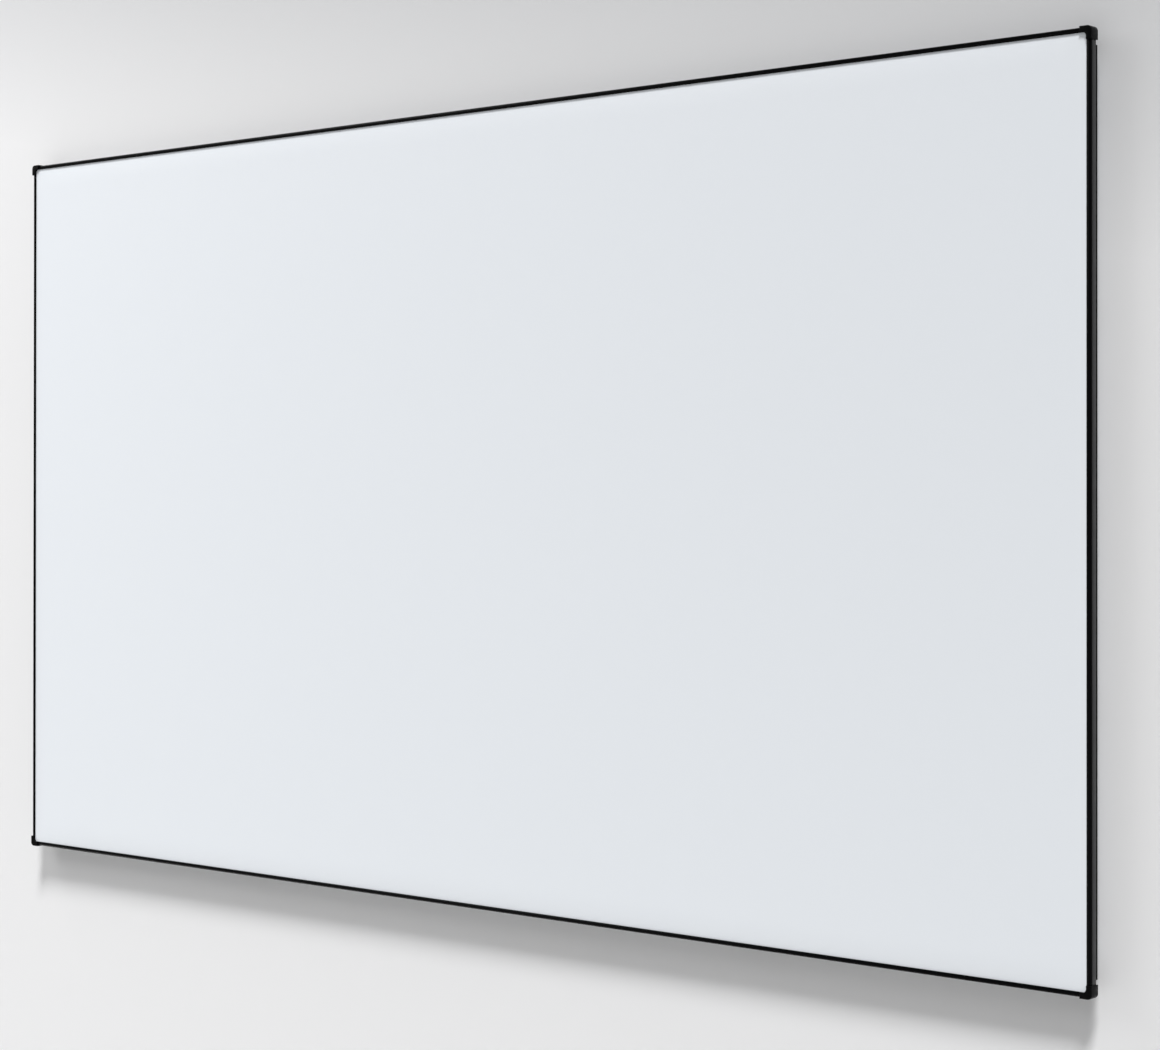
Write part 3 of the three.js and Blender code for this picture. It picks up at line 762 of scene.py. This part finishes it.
ROUND_STEPS = 14


def trim_strip(half):
    """A side's trim, beside the top side. Its mitred tips are clipped, to fit the caps' round corners."""
    start = spot(-half - CAP_OUT, 0, -FIT)
    strip = start_line(start)
    shoulder = spot(-half - CAP_OUT, NOSE_OUT, NOSE_BACK - NOSE_RADIUS)
    draw_to(start, start - spot(0, 0, LIP_EDGE), shoulder)
    draw_round(spot(-half - CAP_OUT, NOSE_OUT, NOSE_BACK), 90, 20)
    corner = spot(-half - CAP_OUT, TRIM_FACE, NOSE_BACK)
    outline = (
        (TRIM_FACE, BAND_BACK),
        (SKIRT_OUT, BAND_BACK),
        (SKIRT_OUT, SNAP_BACK[1]),
        (SNAP_OUT, SNAP_BACK[1]),
        (SNAP_OUT, SNAP_BACK[0]),
        (TRIM_INNER, SNAP_BACK[0]),
        (TRIM_INNER, -FIT),
        (0, -FIT),
    )
    draw_to(corner, *[spot(-half - CAP_OUT, out, back) for out, back in outline])
    close_line(spot(2 * (half + CAP_OUT), 0, 0))
    mitre = (half - MITRE_GAP, 0, -1)
    tip = (half + ROUND_CENTRE, TRIM_FACE, 1)
    for hand in (-1, 1):
        for along, out, lean in (mitre, tip):
            bpy.ops.mesh.select_all(action="SELECT")
            bpy.ops.mesh.bisect(
                plane_co=spot(hand * along, out, 0), plane_no=(hand, 0, lean), use_fill=True, clear_outer=True
            )
    leave_edit()
    for hand in (-1, 1):
        bpy.ops.mesh.primitive_cube_add(
            size=2,
            location=spot(hand * half, 0, BAND_BACK + SNAP_BACK[1]),
            scale=spot(RELIEF_FROM_CORNER, 4 * TRIM_FACE, SNAP_BACK[1]),
        )
        cut(strip, bpy.context.object)
    soften(strip, TRIM_EDGE)
    for face in strip.data.polygons:
        if face.center.y > MM * SKIRT_FROM:
            face.material_index = 2
        elif face.center.z > MM * BAND_FROM:
            face.material_index = 1
    return strip


for pair, run in ((("top", "bottom"), "X"), (("left", "right"), "Z")):
    finishes = (
        black_aluminium(f"deep_black_face_{run}", run, TRIM_BLACK, FACE_ROUGHNESS, FACE_SPECULAR),
        black_aluminium(f"satin_black_band_{run}", run, TRIM_BLACK, BAND_ROUGHNESS, BAND_SPECULAR),
        black_aluminium(f"matt_black_skirt_{run}", run, TRIM_BLACK, SKIRT_ROUGHNESS, SKIRT_SPECULAR),
    )
    strip = trim_strip(SIDES[pair[0]][2] / MM)
    for side in pair:
        turn, at, _ = SIDES[side]
        keep(copy_of(strip, place_at(turn, at)), f"trim_{side}", "black_trim_aluminium", *finishes)
    bpy.data.objects.remove(strip)


# Corner caps. Injection moulded ABS in a spark-eroded tool, so the skin is an even fine grain. Each
# is a hollow L with a rounded outer corner and a filleted inner one, and its claw catches behind
# the trim's band.
CAP_LEG_END = -9.5
CAP_FRONT = -4.1
CAP_BACK = 13.1
CAP_INNER_RADIUS = 5
CAP_EDGE_RADIUS = 1.2
CAP_EDGE = 0.15
CAP_BLACK = "#060607"
CAP_ROUGHNESS = 0.36
CAP_SPECULAR = 0.07
ERODED_GRAIN = 0.25
ERODED_DEPTH = 0.03


def corner_wedge(radius):
    """What lies outside a round at a corner of the frame, over a whole depth."""
    deep = 20
    centre = spot(ROUND_CENTRE, ROUND_CENTRE, -deep)
    wedge = start_line(centre + spot(radius, 0, 0))
    draw_round(centre, 90, ROUND_STEPS, axis=(0, 1, 0))
    outline = ((0, radius), (0, deep), (deep, deep), (deep, 0), (radius, 0))
    draw_to(*[centre + spot(along, out, 0) for along, out in outline])
    close_line(spot(0, 0, 3 * deep))
    leave_edit()
    return wedge


def cap_hollow():
    """What a cap's leg along the top leaves free: the trim with its clearance, and all inside it."""
    deep = 40
    first = spot(-deep, -deep, -FIT)
    hollow = start_line(first)
    lip = -2 * FIT - LIP_EDGE
    nose = spot(-deep, NOSE_OUT, NOSE_BACK - NOSE_RADIUS - FIT)
    draw_to(first, spot(-deep, -FIT, -FIT), spot(-deep, -FIT, lip), nose)
    draw_round(spot(-deep, NOSE_OUT, NOSE_BACK), 90, 16)
    corner = spot(-deep, TRIM_FACE + FIT, NOSE_BACK)
    outline = (
        (TRIM_FACE + FIT, BAND_BACK + FIT),
        (SKIRT_OUT + FIT, BAND_BACK + FIT),
        (SKIRT_OUT + FIT, deep),
        (-deep, deep),
        (-deep, -FIT),
    )
    draw_to(corner, *[spot(-deep, out, back) for out, back in outline])
    close_line(spot(2 * deep, 0, 0))
    leave_edit()
    cut(hollow, corner_wedge(TRIM_FACE + FIT - ROUND_CENTRE))
    return hollow


start = spot(CAP_LEG_END, 0, CAP_FRONT)
cap = start_line(start)
draw_to(start, spot(-CAP_INNER_RADIUS, 0, CAP_FRONT))
draw_round(spot(-CAP_INNER_RADIUS, -CAP_INNER_RADIUS, CAP_FRONT), 90, 10, axis=(0, -1, 0))
draw_to(
    spot(0, -CAP_INNER_RADIUS, CAP_FRONT),
    spot(0, CAP_LEG_END, CAP_FRONT),
    spot(CAP_OUT, CAP_LEG_END, CAP_FRONT),
    spot(CAP_OUT, ROUND_CENTRE, CAP_FRONT),
)
draw_round(spot(ROUND_CENTRE, ROUND_CENTRE, CAP_FRONT), 90, ROUND_STEPS, axis=(0, 1, 0))
draw_to(spot(ROUND_CENTRE, CAP_OUT, CAP_FRONT), spot(CAP_LEG_END, CAP_OUT, CAP_FRONT), start)
close_line(spot(0, 0, CAP_BACK - CAP_FRONT))
select(cap, "EDGE", lambda ends: all(abs(at.y - MM * CAP_FRONT) < MM * MERGE_WITHIN for at in ends))
bpy.ops.mesh.bevel(offset=MM * CAP_EDGE_RADIUS, segments=5, profile=0.5)
leave_edit()
cut(cap, cap_hollow())
edit()
bpy.ops.mesh.select_all(action="SELECT")
bpy.ops.mesh.bisect(plane_co=(0, 0, 0), plane_no=(1, 0, -1), clear_outer=True)
leave_edit()
swapped = Matrix(((0, 0, 1, 0), (0, 1, 0, 0), (1, 0, 0, 0), (0, 0, 0, 1)))
other_half = copy_of(cap, swapped)
other_half.data.flip_normals()
pick(cap, other_half)
bpy.ops.object.join()
mend(cap)
soften(cap, CAP_EDGE, angle=40)

abs_plastic = new_material("moulded_black_abs")
place = add_node(abs_plastic, "ShaderNodeTexCoord").outputs["Object"]
grain = noise(abs_plastic, place, ERODED_GRAIN, 2)
relief = relief_from(abs_plastic, grain, 0.5, ERODED_DEPTH)
skin = add_node(
    abs_plastic,
    "ShaderNodeBsdfPrincipled",
    {
        "Base Color": shade_between(abs_plastic, grain, paint(CAP_BLACK, 0.8), paint(CAP_BLACK)),
        "Roughness": CAP_ROUGHNESS,
        "Specular IOR Level": CAP_SPECULAR,
        "Normal": relief,
    },
)
add_node(abs_plastic, "ShaderNodeOutputMaterial", {"Surface": skin.outputs["BSDF"]})
for corner, (turn, at) in CORNERS.items():
    keep(copy_of(cap, place_at(turn, at)), f"corner_cap_{corner}", "black_moulded_plastic", abs_plastic)
bpy.data.objects.remove(cap)


# Centre support. A drawn aluminium tube with rounded corners stands between the long rails and
# keeps them from bowing in. It is dyed black like the rails.
BAR_WIDTH = 26
BAR_DEPTH = 7.4
BAR_WALL = 1.2
BAR_FRONT = 4.4
BAR_CORNER = 1.6
CLIP_INNER = -44.8

bar_end = HALF_HEIGHT + MM * (CLIP_INNER - FIT)
bpy.ops.mesh.primitive_cube_add(
    size=2,
    location=(0, FRONT + MM * (BAR_FRONT + BAR_DEPTH / 2), 0),
    scale=(MM * BAR_WIDTH / 2, MM * BAR_DEPTH / 2, bar_end),
)
bar = bpy.context.object
bpy.ops.object.transform_apply(location=True, rotation=True, scale=True)
edit()
select(bar, "EDGE", lambda ends: abs(ends[0].z - ends[1].z) > bar_end)
bpy.ops.mesh.bevel(offset=MM * BAR_CORNER, segments=6)
select(bar, "FACE", lambda face: abs(face.normal.z) > 0.9)
bpy.ops.mesh.delete(type="FACE")
leave_edit()
use_modifier(bar, "SOLIDIFY", thickness=MM * BAR_WALL, offset=-1, use_even_offset=True)
shade(bar, 30)
keep(bar, "support_bar", "black_anodised_aluminium", rail_finish["Z"])


# Support clips. Moulded black nylon: a spigot fills the tube's end, and two claws snap over the
# rails' flange. Nylon takes a slightly waxy, fine matt skin.
RAIL_INNER = -40
FLANGE_TIP = -43
FLANGE_FRONT = 13.1
FLANGE_BACK = 14.4
CLIP_FRONT = 3.9
CLIP_WIDTH = 64
CLIP_HOOK = 1.5
CLIP_HOOK_TIP = -37.5
CLIP_SPIGOT = 45
CLIP_EDGE = 0.4
NYLON = "#141415"
NYLON_ROUGHNESS = 0.55
NYLON_GRAIN = 0.5
NYLON_GRAIN_DEPTH = 0.03

clip_half = CLIP_WIDTH / 2
clip_outer = RAIL_INNER - FIT
start = spot(-clip_half, clip_outer, CLIP_FRONT)
clip = start_line(start)
outline = (
    (clip_outer, FLANGE_FRONT - FIT),
    (FLANGE_TIP - FIT, FLANGE_FRONT - FIT),
    (FLANGE_TIP - FIT, FLANGE_BACK + FIT),
    (CLIP_HOOK_TIP, FLANGE_BACK + FIT),
    (CLIP_HOOK_TIP, FLANGE_BACK + FIT + CLIP_HOOK),
    (CLIP_INNER, FLANGE_BACK + FIT + CLIP_HOOK),
    (CLIP_INNER, CLIP_FRONT),
    (clip_outer, CLIP_FRONT),
)
draw_to(start, *[spot(-clip_half, out, back) for out, back in outline])
close_line(spot(CLIP_WIDTH, 0, 0))
leave_edit()
play = BAR_WALL + FIT
bpy.ops.mesh.primitive_cube_add(
    size=1,
    location=spot(0, CLIP_INNER - (CLIP_SPIGOT - CLIP_HOOK) / 2, BAR_FRONT + BAR_DEPTH / 2),
    scale=spot(BAR_WIDTH - 2 * play, CLIP_SPIGOT + CLIP_HOOK, BAR_DEPTH - 2 * play),
)
spigot = bpy.context.object
use_modifier(clip, "BOOLEAN", operation="UNION", object=spigot, solver="EXACT")
bpy.data.objects.remove(spigot)
soften(clip, CLIP_EDGE, segments=3)

nylon = new_material("moulded_black_nylon")
place = add_node(nylon, "ShaderNodeTexCoord").outputs["Object"]
grain = noise(nylon, place, NYLON_GRAIN, 2)
relief = relief_from(nylon, grain, 0.3, NYLON_GRAIN_DEPTH)
skin = add_node(
    nylon,
    "ShaderNodeBsdfPrincipled",
    {
        "Base Color": shade_between(nylon, grain, paint(NYLON, 0.85), paint(NYLON)),
        "Roughness": NYLON_ROUGHNESS,
        "Normal": relief,
    },
)
add_node(nylon, "ShaderNodeOutputMaterial", {"Surface": skin.outputs["BSDF"]})
for side in ("top", "bottom"):
    turn, at, _ = SIDES[side]
    keep(copy_of(clip, place_at(turn, at)), f"support_clip_{side}", "black_nylon", nylon)
bpy.data.objects.remove(clip)


# Wall brackets. Steel strip, bent twice and powder coated black, so the corners are soft and the
# skin has a slight orange peel. The plate is screwed to the wall through its two holes, and the
# lip stands up in front of the rail's flange and carries it.
BRACKET_WIDTH = 60
STRIP = 2
STRIP_BEND = 1.5
BRACKET_HEIGHT = 40
BRACKET_HOLE = 5.5
BRACKET_HOLES_APART = 34
BRACKET_HOLE_FROM_END = 16
BRACKET_FROM_MIDDLE = 553
WALL_BACK = 36
BRACKET_EDGE = 0.25
COAT_BLACK = "#17181A"
COAT_ROUGHNESS = 0.4
COAT_PEEL = 1.6
COAT_PEEL_DEPTH = 0.06

lip_back = FLANGE_FRONT - FIT
shelf_outer = FLANGE_TIP - FIT
shelf_inner = shelf_outer - STRIP
bend_back = WALL_BACK - STRIP - STRIP_BEND
bracket_end = shelf_inner + BRACKET_HEIGHT
side_x = -BRACKET_WIDTH / 2
start = spot(side_x, RAIL_INNER - FIT, lip_back - STRIP)
bracket = start_line(start)
draw_to(
    start,
    spot(side_x, RAIL_INNER - FIT, lip_back),
    spot(side_x, shelf_outer, lip_back),
    spot(side_x, shelf_outer, bend_back),
)
draw_round(spot(side_x, shelf_outer + STRIP_BEND, bend_back), -90, 6)
draw_to(
    spot(side_x, shelf_outer + STRIP_BEND, WALL_BACK - STRIP),
    spot(side_x, bracket_end, WALL_BACK - STRIP),
    spot(side_x, bracket_end, WALL_BACK),
    spot(side_x, shelf_outer + STRIP_BEND, WALL_BACK),
)
draw_round(spot(side_x, shelf_outer + STRIP_BEND, bend_back), 90, 8)
draw_to(spot(side_x, shelf_inner, bend_back), spot(side_x, shelf_inner, lip_back))
draw_round(spot(side_x, shelf_outer, lip_back), 90, 6)
draw_to(spot(side_x, shelf_outer, lip_back - STRIP), start)
close_line(spot(BRACKET_WIDTH, 0, 0))
leave_edit()
for hand in (-1, 1):
    bpy.ops.mesh.primitive_cylinder_add(
        vertices=32,
        radius=MM * BRACKET_HOLE / 2,
        depth=MM * STRIP * 4,
        location=spot(hand * BRACKET_HOLES_APART / 2, bracket_end - BRACKET_HOLE_FROM_END, WALL_BACK),
        rotation=(math.radians(90), 0, 0),
    )
    cut(bracket, bpy.context.object)
soften(bracket, BRACKET_EDGE)

powder = new_material("black_powder_coat")
place = add_node(powder, "ShaderNodeTexCoord").outputs["Object"]
peel = noise(powder, place, COAT_PEEL, 2)
relief = relief_from(powder, peel, 0.4, COAT_PEEL_DEPTH)
skin = add_node(
    powder,
    "ShaderNodeBsdfPrincipled",
    {
        "Base Color": shade_between(powder, peel, paint(COAT_BLACK, 0.9), paint(COAT_BLACK)),
        "Roughness": COAT_ROUGHNESS,
        "Normal": relief,
    },
)
add_node(powder, "ShaderNodeOutputMaterial", {"Surface": skin.outputs["BSDF"]})
for side in ("top", "bottom"):
    turn, at, _ = SIDES[side]
    for hand, sign in (("left", -1), ("right", 1)):
        along = sign * BRACKET_FROM_MIDDLE * (1 if side == "top" else -1)
        matrix = place_at(turn, at) @ Matrix.Translation(spot(along, 0, 0))
        keep(copy_of(bracket, matrix), f"wall_bracket_{side}_{hand}", "black_coated_steel", powder)
bpy.data.objects.remove(bracket)


# Studio. A pale wall whose colour is painted darker towards the upper right, a painted shade where
# the light falls off, a pale floor, and soft lamps in an evenly lit room. The lamp from above draws
# the shadow under the frame, and one lights the back.
# The wall is see-through from behind and to shadows, so that the back can be lit and looked at.
WALL_PAINT = "#F0F0F1"
# Painted shade on the wall: the darker colour its paint is mixed to towards the upper right, and where that
# starts and ends.
WALL_PAINTED_SHADE = "#C6C7C9"
WALL_PAINTED_SHADE_FROM = 0.5
WALL_PAINTED_SHADE_TO = 1.05
WALL_PAINTED_SHADE_LEAN = 0.15
FLOOR_PAINT = "#B8B8B7"
FLOOR_DROP = 1.0
ROOM = 16
ROOM_LIGHT = 0.24

wall_paint = new_material("studio_wall_paint_and_painted_shade")
place = add_node(wall_paint, "ShaderNodeTexCoord").outputs["Object"]
# Painted shade: the wall's colour is mixed darker towards the upper right, standing in for light that falls
# off there.
upward = add_node(
    wall_paint,
    "ShaderNodeVectorMath",
    {0: place, 1: (WALL_PAINTED_SHADE_LEAN, 0, 1)},
    operation="DOT_PRODUCT",
)
painted_shading = add_node(
    wall_paint,
    "ShaderNodeMapRange",
    {"Value": upward.outputs["Value"], "From Min": WALL_PAINTED_SHADE_FROM, "From Max": WALL_PAINTED_SHADE_TO},
)
wall_tone_with_painted_shade = shade_between(
    wall_paint, painted_shading.outputs["Result"], paint(WALL_PAINT), paint(WALL_PAINTED_SHADE), low=0, high=1
)
matt = add_node(wall_paint, "ShaderNodeBsdfDiffuse", {"Color": wall_tone_with_painted_shade})
clear = add_node(wall_paint, "ShaderNodeBsdfTransparent")
behind = add_node(wall_paint, "ShaderNodeNewGeometry").outputs["Backfacing"]
shadow = add_node(wall_paint, "ShaderNodeLightPath").outputs["Is Shadow Ray"]
unseen = add_node(wall_paint, "ShaderNodeMath", {0: behind, 1: shadow}, operation="MAXIMUM")
surface = add_node(
    wall_paint,
    "ShaderNodeMixShader",
    {0: unseen.outputs["Value"], 1: matt.outputs["BSDF"], 2: clear.outputs["BSDF"]},
)
add_node(wall_paint, "ShaderNodeOutputMaterial", {"Surface": surface.outputs["Shader"]})

floor_paint = new_material("studio_floor_paint")
matt = add_node(floor_paint, "ShaderNodeBsdfDiffuse", {"Color": paint(FLOOR_PAINT)})
add_node(floor_paint, "ShaderNodeOutputMaterial", {"Surface": matt.outputs["BSDF"]})

wall_y = FRONT + MM * (WALL_BACK + FIT)
floor_z = cad_corners[0].z - FLOOR_DROP
bpy.ops.mesh.primitive_plane_add(size=ROOM, location=(0, wall_y, 0), rotation=(math.radians(90), 0, 0))
wall = bpy.context.object
bpy.ops.object.transform_apply(location=True, rotation=True, scale=True)
bpy.ops.mesh.primitive_plane_add(size=ROOM, location=(0, 0, floor_z))
floor = bpy.context.object
bpy.ops.object.transform_apply(location=True, rotation=True, scale=True)
for piece, name, material in ((wall, "studio_wall", wall_paint), (floor, "studio_floor", floor_paint)):
    piece.name = name
    piece.data.materials.append(material)

# Each lamp's name, place, size and strength. The one with no size is a sun.
LAMPS = (
    ("above", (0.7, -1.0, 2.1), 0, 3.0),
    ("upper_left", (-3.0, -2.4, 2.2), 2.4, 40),
    ("glint", (-2.7, -0.9, 3.2), 0.8, 14),
    ("behind", (-1.6, 3.6, 2.6), 2.4, 90),
)
SUN_WIDTH = 13
for name, at, size, strength in LAMPS:
    kind = "AREA" if size else "SUN"
    aim = (-Vector(at)).to_track_quat("-Z", "Y").to_euler()
    bpy.ops.object.light_add(type=kind, location=at, rotation=aim)
    lamp = bpy.context.object
    lamp.name = f"lamp_{name}"
    lamp.data.energy = strength
    if size:
        lamp.data.size = size
    else:
        lamp.data.angle = math.radians(SUN_WIDTH)

world = bpy.data.worlds.new("studio")
world.use_nodes = True
world.node_tree.nodes["Background"].inputs["Color"].default_value = (ROOM_LIGHT, ROOM_LIGHT, ROOM_LIGHT, 1)
bpy.context.scene.world = world
bpy.context.scene.view_settings.view_transform = "Standard"
